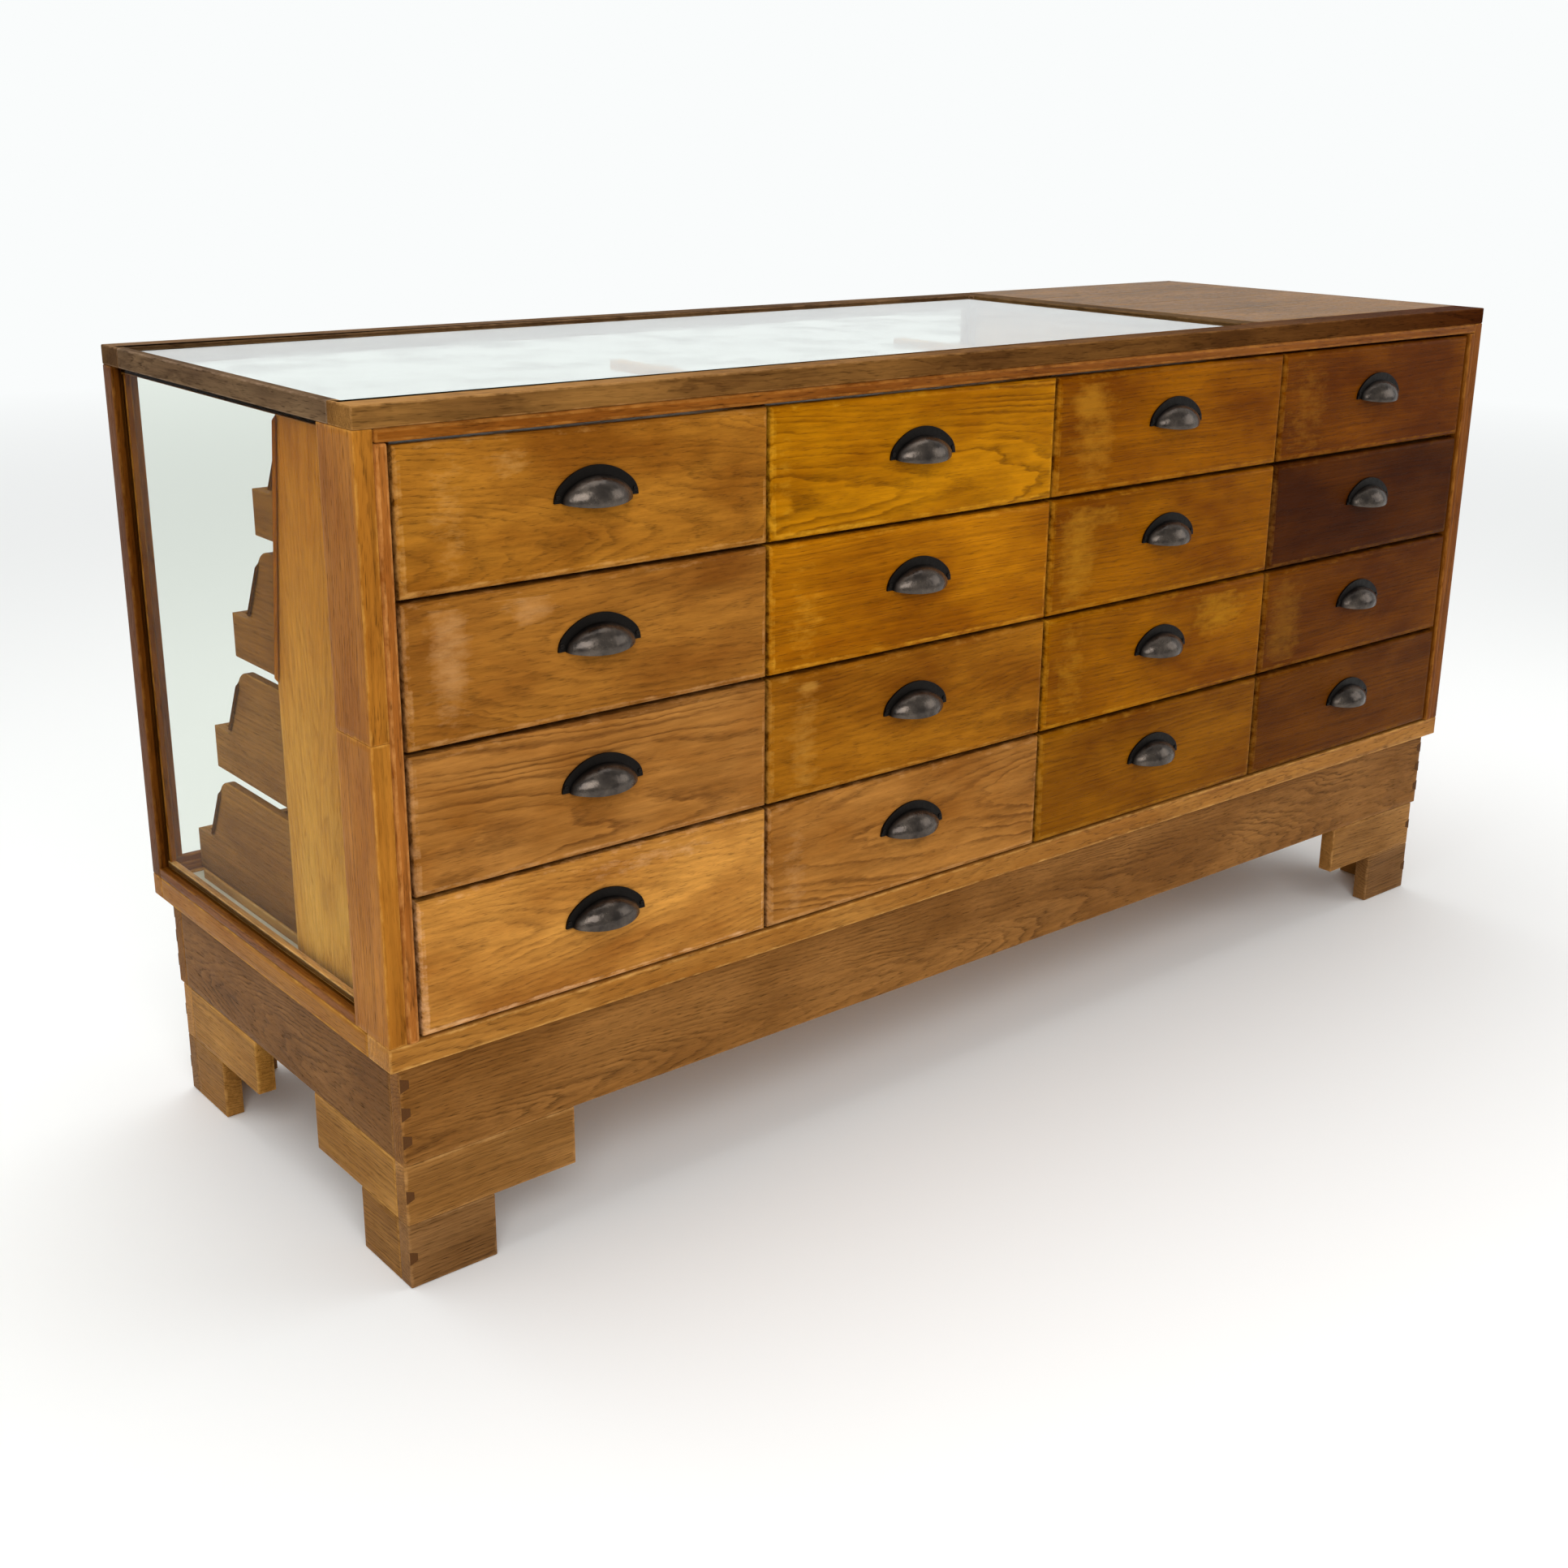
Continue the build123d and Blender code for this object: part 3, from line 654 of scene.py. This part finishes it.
# ---- base frame and floor ----
low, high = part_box("base_frame")
inner_low = spot(rail_thickness, front_rail_depth, 0)
inner_high = spot(length - rail_thickness, back_inside, 0)
front_end = Vector((high.x, inner_low.y, high.z))
board("base_rail_front", "base_frame", low, front_end, X, carcase_wood, "straight", (1.22, 1.32, 1.45))
board("base_rail_back", "base_frame", Vector((low.x, inner_high.y, low.z)), high, X, carcase_wood)
for side, x0, x1 in (("left", low.x, inner_low.x), ("right", inner_high.x, high.x)):
    a, b = Vector((x0, inner_low.y, low.z)), Vector((x1, inner_high.y, high.z))
    board(f"base_rail_{side}", "base_frame", a, b, Y, carcase_wood, "straight", (1.02, 1.02, 0.68))
low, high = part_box("floor_board")
paper_thickness = 0.002
paper_bottom = high.z - paper_thickness
board("floor_boarding", "floor_board", low, Vector((high.x, high.y, paper_bottom)), X, inner_wood)
lining = block("floor_lining", Vector((low.x, low.y, paper_bottom)), high)
ease(lining, 0.0004, 0.01)
fit(lining, "carcase", ["floor_board"], floor_paper)

# ---- posts ----
low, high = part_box("post_front_left")
joint_height = 0.315
joint = low.z + joint_height
halves = (
    ("lower", low, Vector((high.x, high.y, joint)), (1.12, 1.05, 0.72)),
    ("upper", Vector((low.x, low.y, joint)), high, (1.08, 1.00, 0.66)),
)
for part, a, b, tone in halves:
    name = f"post_front_left_{part}"
    board(name, "post_front_left", a, b, Z, carcase_wood, "straight", tone, (0.0009, 0.007))
low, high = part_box("post_front_right")
board("post_front_right_board", "post_front_right", low, high, Z, carcase_wood, "straight", (0.62, 0.46, 0.24))
low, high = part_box("posts_back")
mullion = spot(till_side - mullion_half, 0, 0).x
back_posts = (
    ("left", low.x, low.x + post_width, (0.36, 0.26, 0.16)),
    ("mullion", mullion, mullion + 2 * mullion_half, (0.9, 0.84, 0.76)),
    ("right", high.x - post_width, high.x, (0.8, 0.72, 0.66)),
)
for name, x0, x1, tone in back_posts:
    a, b = Vector((x0, low.y, low.z)), Vector((x1, high.y, high.z))
    board(f"post_back_{name}", "posts_back", a, b, Z, carcase_wood, "straight", tone)

# ---- top frame: each rail is rebated on its inner edge for the plate glass ----
glass_low, glass_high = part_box("glass_top")


def rail(node, along, tone, far=None):
    """A rail of the top frame.

    The stock is made up to the glass's underside and parted where the rebate runs, and the rest is raised."""
    low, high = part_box(node)
    piece = block(f"{node}_board", low, Vector((high.x, high.y, glass_low.z)))
    for axis, limits in ((X, (glass_low.x, glass_high.x)), (Y, (glass_low.y, glass_high.y))):
        for limit in limits:
            if low[axis] + 1e-4 < limit < high[axis] - 1e-4:
                cut = Vector((0, 0, 0))
                cut[axis] = 1
                parted(cut * limit, cut)

    def raised(middle, normal, face):
        inside = glass_low.x < middle.x < glass_high.x and glass_low.y < middle.y < glass_high.y
        return normal.z > 0.9 and not inside

    pick(piece, "FACE", raised)
    extruded(high.z - glass_low.z)
    merged(1)
    ease(piece, 0.0014, 0.007)
    lay_grain(piece, along, node, "straight")
    tint(piece, tone, far)
    if along == X:
        rub_top(piece, 0.55, -0.1)
    fit(piece, "carcase", [node], rail_wood)


rail("top_rail_front", X, (2.6, 2.35, 1.7), (0.55, 0.22, 0.04))
rail("top_rail_back", X, (1.3, 1.3, 1.5))
rail("top_rail_left", Y, (1.7, 2.0, 3.0), (0.9, 0.8, 0.6))
rail("top_rail_cross", Y, (1, 1, 1))

# The till's top is glued up from four boards.
low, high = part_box("till_top")
till_boards = 4
for i in range(till_boards):
    a = Vector((low.x, low.y + (high.y - low.y) * i / till_boards, low.z))
    b = Vector((high.x, low.y + (high.y - low.y) * (i + 1) / till_boards, high.z))
    name, tone = f"till_top_board_{i + 1}", (1.02, 1.12, 1.28)
    piece = board(name, "till_top", a, b, X, till_wood, "crown", tone, (0.0004, 0.010))
    rub_top(piece, 0.25, 0.25)


# ---- glass ----
def coat(node, material):
    """Gives one of the frame's own pieces its material."""
    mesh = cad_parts[node].data
    mesh.materials.clear()
    mesh.materials.append(material)


coat("glass_top", plate_glass)
coat("glass_left", sheet_glass)
coat("glass_back", sheet_glass)

# ---- sills, glazing beads and panels ----
sill_top = 0.297
sill_width = 0.022
bead = 0.008
post_back = 0.072
pane_end, till_pane = till_side - mullion_half, till_side + mullion_half
side_near, side_far = 0.012, 0.020
rear_near, rear_far = depth - 0.020, depth - 0.012
bead_low, bead_high = sill_top + bead, frame_underside - bead
sills = (
    ("sill_left", (0, post_back, base_top), (sill_width, back_inside, sill_top), Y),
    ("sill_right", (length - sill_width, post_back, base_top), (length, back_inside, sill_top), Y),
    ("sill_back", (post_width, depth - sill_width, base_top), (pane_end, depth, sill_top), X),
    ("sill_till", (till_pane, depth - sill_width, base_top), (length - post_width, depth, sill_top), X),
    ("bead_left_low", (side_near, post_back, sill_top), (side_far, back_inside, bead_low), Y),
    ("bead_left_high", (side_near, post_back, bead_high), (side_far, back_inside, frame_underside), Y),
    ("bead_left_front", (side_near, post_back, bead_low), (side_far, post_back + bead, bead_high), Z),
    ("bead_left_back", (side_near, back_inside - bead, bead_low), (side_far, back_inside, bead_high), Z),
    ("bead_back_low", (post_width, rear_near, sill_top), (pane_end, rear_far, bead_low), X),
    ("bead_back_high", (post_width, rear_near, bead_high), (pane_end, rear_far, frame_underside), X),
    ("bead_back_left", (post_width, rear_near, bead_low), (post_width + bead, rear_far, bead_high), Z),
    ("bead_back_right", (pane_end - bead, rear_near, bead_low), (pane_end, rear_far, bead_high), Z),
)
for name, a, b, along in sills:
    tone = (1.5, 1.8, 2.8) if name == "bead_left_low" else (0.58, 0.46, 0.26)
    node = "sills_and_glazing_beads"
    board(name, node, spot(*a), spot(*b), along, carcase_wood, "straight", tone, (0.0010, 0.004))
for name in ("panel_right", "panel_back"):
    low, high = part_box(name)
    board(f"{name}_board", name, low, high, Z, carcase_wood, "crown", (0.82, 0.74, 0.68))

# ---- the half-round bead round the drawers ----
bead_width = 0.013
bead_front = -0.003
left_edge, right_edge = 0.020, length - 0.020
under = frame_underside - bead_width
round_beads = (
    ("left", (1.05, 0.88, 0.90), left_edge, left_edge + bead_width, base_top, under, Z),
    ("right", (0.60, 0.44, 0.22), right_edge - bead_width, right_edge, base_top, under, Z),
    ("top", (0.66, 0.50, 0.32), left_edge, right_edge, under, frame_underside, X),
)
for side, tone, x0, x1, z0, z1, along in round_beads:
    a, b = spot(x0, bead_front, z0), spot(x1, upright_front, z1)
    board(f"front_bead_{side}", "front_beads", a, b, along, carcase_wood, "straight", tone, (0.0030, 0.003))


# ---- uprights: each has a foot cut over the base rail, and a rear edge that leans in above 600 mm ----
half = upright_thickness / 2
cap_depth = 0.263
slim_edges = (0.0010, 0.004)


def upright(name, node, line, tone, high_tone):
    x0, x1 = line - half, line + half
    piece = block(name, spot(x0, upright_front, base_top), spot(x1, upright_depth, lean_start))
    step = spot(0, front_rail_depth, 0)
    parted(step, (0, 1, 0))
    pick(piece, "FACE", lambda middle, normal, face: normal.z < -0.9 and middle.y > step.y)
    extruded(lining_top - base_top)
    pick(piece, "FACE", lambda middle, normal, face: normal.z > 0.9)
    extruded(upright_top - lean_start)
    rear = spot(0, upright_depth, upright_top)
    pick(piece, "EDGE", lambda middle, way, edge: near(middle.y, rear.y) and near(middle.z, rear.z))
    bpy.ops.transform.translate(value=(0, upright_top_depth - upright_depth, 0))
    bpy.ops.object.mode_set(mode="OBJECT")
    merged(0.5)
    ease(piece, 0.0010, 0.006)
    lay_grain(piece, Z, name, "crown")
    tint(piece, tone, high_tone, Z)
    fit(piece, "carcase", [node], inner_wood)
    a, b = spot(x0, upright_front, upright_top), spot(x1, upright_front + cap_depth, frame_underside)
    board(f"{name}_cap", node, a, b, Y, inner_wood, "straight", high_tone, slim_edges)


upright("upright_left_board", "upright_left", column_line(0), (1.12, 1.12, 0.76), (0.84, 0.56, 0.06))
cleat_front = 0.230
cleat_height = 0.014
a = spot(rail_thickness, cleat_front, lining_top)
b = spot(column_line(0) - half, upright_depth, lining_top + cleat_height)
board("upright_left_cleat", "upright_left", a, b, X, inner_wood)
for column in (1, 2):
    upright(f"upright_middle_{column}", "uprights_middle", column_line(column), (1, 0.97, 0.9), (1, 0.9, 0.7))
upright("upright_right_board", "till_partition", column_line(columns), (1, 0.97, 0.9), (1, 0.9, 0.7))
a, b = spot(till_side - half, upright_front, base_top), spot(till_side + half, back_inside, frame_underside)
board("till_partition_board", "till_partition", a, b, Z, inner_wood, "crown", (0.95, 0.9, 0.85))

# ---- runners and dividers ----
runner_width = 0.020
runner_height = 0.011
runner_gap = 0.0003
divider_depth = 0.040
rung_edges = (0.0008, 0.004)
for column in range(columns):
    left, right = column_line(column) + half, column_line(column + 1) - half
    for row in range(rows):
        place = f"row{row + 1}_column{column + 1}"
        top = front_bottom(row) + box_lift - runner_gap
        if row == rows - 1:
            low_z, front = lining_top, front_rail_depth
            back = top_drawer_depth + row * drawer_depth_step - box_wall
            rungs = []
        else:
            low_z, front = top - runner_height, upright_front + divider_depth
            share = min(max((upright_top - low_z) / (upright_top - lean_start), 0), 1)
            back = upright_top_depth + share * (upright_depth - upright_top_depth)
            rungs = [("divider", left, right, upright_front, front, X)]
        rungs.append(("runner_left", left, left + runner_width, front, back, Y))
        rungs.append(("runner_right", right - runner_width, right, front, back, Y))
        for part, x0, x1, y0, y1, along in rungs:
            a, b = spot(x0, y0, low_z), spot(x1, y1, top)
            board(f"{part}_{place}", "runner_frames", a, b, along, inner_wood, edges=rung_edges)


# ---- drawers ----
def copied(pattern, name, shift):
    """A copy with its own mesh, set in its place."""
    piece = bpy.data.objects.new(name, pattern.data.copy())
    bpy.context.collection.objects.link(piece)
    piece.data.name = name
    piece.data.transform(Matrix.Translation(shift))
    return piece


# The rounding of a front's edges, how far behind the face its painted shade starts, and the cuts across the face.
rounding = 0.006
painted_shade_edge = 0.0025
front_cuts = 31


def front_pattern():
    """A drawer front at the first opening: a thumb-rounded front edge, and a face fine enough for rubbed patches and
    painted reflections.
    """
    low = spot(side_margin + front_gap / 2, -front_proud, lowest_front)
    right = side_margin + column_pitch - front_gap / 2
    high = spot(right, front_thickness - front_proud, lowest_front + front_height)
    piece = block("front_pattern", low, high)
    pick(piece, "EDGE", lambda middle, way, edge: near(middle.y, low.y))
    bpy.ops.mesh.bevel(offset=rounding, segments=5, affect="EDGES")
    bpy.ops.mesh.select_all(action="DESELECT")
    bpy.ops.mesh.edges_select_sharp(sharpness=math.radians(50))
    bpy.ops.mesh.bevel(offset=0.0008, segments=2, affect="EDGES")
    bpy.ops.object.mode_set(mode="OBJECT")
    pick(piece, "FACE", lambda middle, normal, face: near(middle.y, low.y) and face.area > 0.01)
    bpy.ops.mesh.inset(thickness=0.006)
    bpy.ops.mesh.subdivide(number_cuts=front_cuts)
    bpy.ops.object.mode_set(mode="OBJECT")
    wear_and_highlight = [0.0] * len(piece.data.vertices)
    for face in piece.data.polygons:
        if not near(face.center.y, low.y):
            # The left and lower edges are painted palest, a painted highlight where the light catches them, over the
            # wear that all the edges have.
            paler_part = face.center.x < low.x + 0.007 or face.center.z < low.z + 0.007
            for v in face.vertices:
                wear_and_highlight[v] = 1.0 if paler_part else 0.75
    write(piece, "wear_and_highlight", wear_and_highlight)
    return piece, low, high


def side_pattern(row):
    """A drawer side of one row: a high front part, a rounded shoulder, a slope and a low ledge at the back."""
    reach = top_drawer_depth + row * drawer_depth_step
    bottom = front_bottom(row) + box_lift
    x0 = column_line(0) + half + side_clearance
    low = spot(x0, front_thickness - front_proud, bottom)
    piece = block(f"side_pattern_{row + 1}", low, spot(x0 + box_wall, reach, bottom + ledge_height))
    foot = spot(0, reach - ledge_length, 0)
    parted(foot, (0, 1, 0))
    ledge = low.z + ledge_height
    rise = front_height - box_lift - side_drop - ledge_height
    pick(piece, "FACE", lambda middle, normal, face: normal.z > 0.9 and middle.y < foot.y)
    extruded(rise)

    def shoulder(middle, way, edge):
        return near(middle.z, ledge + rise) and near(middle.y, foot.y)

    def slope_foot(middle, way, edge):
        return near(middle.z, ledge) and near(middle.y, foot.y) and abs(way.x) > 0.9

    pick(piece, "EDGE", shoulder)
    bpy.ops.transform.translate(value=(0, -slope_length, 0))
    bpy.ops.mesh.bevel(offset=shoulder_radius, segments=8, affect="EDGES")
    bpy.ops.object.mode_set(mode="OBJECT")
    pick(piece, "EDGE", slope_foot)
    bpy.ops.mesh.bevel(offset=slope_foot_radius, segments=4, affect="EDGES")
    bpy.ops.object.mode_set(mode="OBJECT")
    merged(0.5)
    ease(piece, 0.0008, 0.005)
    return piece


# Each front's own board: its stain as a share of the material's tones, its cut, and its pale (+) or dark (-) places
# as (x, z, half width, half height, strength), with x and z from the front's middle. The tall pale strips near the
# left ends are painted reflections of a tall light in the polish; the smaller pale places are rubbed polish.
fronts = {
    (1, 1): ((0.99, 0.99, 1.02), "crown", ((-0.165, 0.0, 0.02, 0.09, 0.28), (-0.10, 0.045, 0.03, 0.018, 0.3))),
    (1, 2): ((1.15, 1.10, 0.10), "crown", ((-0.2, 0.0, 0.015, 0.09, 0.2),)),
    (1, 3): ((0.73, 0.58, 0.03), "straight", ((-0.15, 0.0, 0.04, 0.09, 0.4), (-0.17, 0.04, 0.03, 0.02, 0.3))),
    (1, 4): ((0.44, 0.30, 0.02), "straight", ((-0.16, 0.0, 0.05, 0.09, 0.3),)),
    (2, 1): ((0.88, 0.88, 1.25), "crown", ((-0.17, 0.02, 0.022, 0.08, 0.5), (-0.08, 0.05, 0.028, 0.02, 0.5))),
    (2, 2): ((1.14, 1.02, 0.16), "straight", ((-0.17, -0.02, 0.03, 0.07, 0.25),)),
    (2, 3): ((0.76, 0.63, 0.03), "straight", ((-0.17, 0.0, 0.035, 0.09, 0.45), (-0.12, 0.045, 0.03, 0.015, 0.3))),
    (2, 4): ((0.19, 0.115, 0.02), "straight", ()),
    (3, 1): ((0.94, 0.98, 1.55), "crown", ()),
    (3, 2): ((0.84, 0.77, 0.40), "crown", ((-0.17, -0.02, 0.022, 0.07, 0.4), (-0.16, 0.055, 0.02, 0.008, 0.5))),
    (3, 3): ((0.80, 0.68, 0.03), "straight", ((0.12, 0.035, 0.06, 0.035, 0.45), (-0.17, 0.0, 0.03, 0.09, 0.3))),
    (3, 4): ((0.36, 0.25, 0.02), "straight", ((-0.17, -0.01, 0.04, 0.08, 0.5),)),
    (4, 1): ((1.46, 1.66, 3.20), "crown", ((0.06, 0.055, 0.10, 0.015, 0.25),)),
    (4, 2): ((0.95, 0.98, 1.45), "crown", ((-0.18, -0.02, 0.02, 0.07, 0.3),)),
    (4, 3): ((0.64, 0.56, 0.12), "straight", ()),
    (4, 4): ((0.32, 0.23, 0.04), "straight", ()),
}

bold_fronts = ((1, 2), (3, 1), (4, 2))
# Fingers leave grime on the wood round the pull.
pull_grime = (0, -0.006, 0.058, 0.030, -0.22)

front_model, front_low, front_high = front_pattern()
front_middle = (front_low + front_high) / 2
for row in range(rows):
    side_model = side_pattern(row)
    reach = top_drawer_depth + row * drawer_depth_step
    bottom = front_bottom(row) + box_lift
    for column in range(columns):
        place = f"row{row + 1}_column{column + 1}"
        node = f"drawer_{place}"
        tone, figure, patches = fronts[row + 1, column + 1]
        shift = Vector((column * column_pitch, 0, front_bottom(row) - lowest_front))
        piece = copied(front_model, f"front_{place}", shift)
        middle = front_middle + shift
        marks = (pull_grime,) + patches
        rub_grime_and_painted_light = []
        for v in piece.data.vertices:
            # Old polish and dirt have run dark round the edge, behind the rounding.
            # Painted shade: the edge behind the rounding is darkened, where the gaps between the fronts lie in shade.
            here = -0.5 if v.co.y > front_low.y + painted_shade_edge else 0
            for x, z, wide, tall, strength in marks:
                far = ((v.co.x - middle.x - x) / wide) ** 2 + ((v.co.z - middle.z - z) / tall) ** 2
                here += strength * math.exp(-far**1.5)
            rub_grime_and_painted_light.append(here)
        write(piece, "rub_grime_and_painted_light", rub_grime_and_painted_light)
        lay_grain(piece, X, f"front {place}", figure)
        tint(piece, tone)
        bold = (row + 1, column + 1) in bold_fronts
        fit(piece, node, [node], bold_front if bold else plain_front)

        box_tone = (1.05, 0.84, 0.50) if row < 2 else (1.3, 1.16, 1.0)
        box_left = column_line(column) + half + side_clearance
        box_right = column_line(column + 1) - half - side_clearance
        for side, x in (("left", box_left), ("right", box_right - box_wall)):
            shift = Vector((x - column_line(0) - half - side_clearance, 0, 0))
            piece = copied(side_model, f"side_{side}_{place}", shift)
            lay_grain(piece, Y, f"side {side} {place}", "straight")
            tint(piece, box_tone)
            fit(piece, node, [node], drawer_box)
        left, right = box_left + box_wall, box_right - box_wall
        a, b = spot(left, reach - box_wall, bottom), spot(right, reach, bottom + ledge_height)
        board(f"back_{place}", node, a, b, X, drawer_box, "straight", box_tone, rung_edges, node)
        a = spot(left, front_thickness - front_proud, bottom + bottom_rise)
        b = spot(right, reach - box_wall, bottom + bottom_top)
        board(f"bottom_{place}", node, a, b, X, drawer_bottom, "crown", (0.95, 0.9, 0.85), (0.0003, 0.003), node)
    bpy.data.objects.remove(side_model)
bpy.data.objects.remove(front_model)

# ---- pulls ----
for row in range(rows):
    for column in range(columns):
        coat(f"pull_row{row + 1}_column{column + 1}", bronze)


# ---- floor, light and camera ----
def brightness(tree, way):
    """How bright the studio is in a direction: bright behind the counter, and dimmer before it."""
    way = add(tree, "ShaderNodeVectorMath", {0: way}, operation="NORMALIZE")
    way = add(tree, "ShaderNodeSeparateXYZ", {"Vector": way}, output="Y")
    limits = {"From Min": -0.35, "From Max": 0.3, "To Min": 0.45, "To Max": 1.0}
    return add(tree, "ShaderNodeMapRange", {"Value": way} | limits)


def studio():
    """A plain pale floor that fades into a backdrop of the same brightness, under soft white light."""
    bpy.ops.object.select_all(action="DESELECT")
    bpy.ops.mesh.primitive_plane_add(size=60, location=(0, 0, -0.0005))
    floor = bpy.context.object
    floor.name = "studio_floor"
    material, tree = blank("pale_studio_floor")
    place = add(tree, "ShaderNodeTexCoord", output="Object")
    speck = add(tree, "ShaderNodeTexNoise", {"Vector": place, "Scale": 3, "Detail": 4})
    rough = add(tree, "ShaderNodeMapRange", {"Value": speck, "To Min": 0.8, "To Max": 0.9})
    links = {"Base Color": colour("#F6F6F5"), "Roughness": rough, "Specular IOR Level": 0.1}
    near_by = add(tree, "ShaderNodeBsdfPrincipled", links)
    # Far off, the floor fades into the backdrop, so that no horizon shows.
    far_off = add(tree, "ShaderNodeEmission", {"Color": colour("#FAFCFC"), "Strength": brightness(tree, place)})
    away = add(tree, "ShaderNodeVectorMath", {0: place}, operation="LENGTH", output="Value")
    share = add(tree, "ShaderNodeMapRange", {"Value": away, "From Min": 2.2, "From Max": 7.0})
    surface = add(tree, "ShaderNodeMixShader", {0: share, 1: near_by, 2: far_off})
    add(tree, "ShaderNodeOutputMaterial", {"Surface": surface})
    floor.data.materials.append(material)

    world = bpy.data.worlds.new("white_studio")
    bpy.context.scene.world = world
    world.use_nodes = True
    world.node_tree.nodes.clear()
    tree = world.node_tree
    bright = brightness(tree, add(tree, "ShaderNodeTexCoord", output="Generated"))
    sky = add(tree, "ShaderNodeBackground", {"Color": colour("#FAFCFC"), "Strength": bright})
    add(tree, "ShaderNodeOutputWorld", {"Surface": sky})

    lamps = (
        ("key_softbox", (-2.4, -3.4, 2.8), (0.0, 0.0, 0.5), 2.6, 95),
        ("fill_softbox", (3.4, -2.6, 1.8), (0.4, 0.0, 0.5), 2.4, 30),
        ("overhead_softbox", (0.0, 0.6, 3.4), (0.0, 0.0, 0.0), 3.0, 45),
    )
    for name, place, target, size, power in lamps:
        lamp = bpy.data.lights.new(name, "AREA")
        lamp.shape = "SQUARE"
        lamp.size = size
        lamp.energy = power
        holder = bpy.data.objects.new(name, lamp)
        bpy.context.collection.objects.link(holder)
        holder.location = place
        holder.rotation_mode = "QUATERNION"
        holder.rotation_quaternion = (Vector(target) - Vector(place)).to_track_quat("-Z", "Y")


studio()

# The camera stands a little left of the counter's front, at about breast height, and looks slightly down.
yaw = math.radians(40.24)
pitch = math.radians(-17.72)
roll = math.radians(0.80)
ahead = Vector((math.sin(yaw) * math.cos(pitch), math.cos(yaw) * math.cos(pitch), math.sin(pitch)))
right = ahead.cross(Vector((0, 0, 1))).normalized()
up = right.cross(ahead)
right, up = math.cos(roll) * right + math.sin(roll) * up, math.cos(roll) * up - math.sin(roll) * right
lens = bpy.data.cameras.new("camera")
lens.sensor_width = 36
lens.lens = 43.52
lens.shift_x = -0.0197
lens.shift_y = -0.0316
lens.clip_end = 100
camera = bpy.data.objects.new("camera", lens)
bpy.context.collection.objects.link(camera)
turn = Matrix((right, up, -ahead)).transposed().to_4x4()
camera.matrix_world = Matrix.Translation((-1.6863, -1.8416, 1.1574)) @ turn
bpy.context.scene.camera = camera
bpy.context.scene.view_settings.view_transform = "Standard"
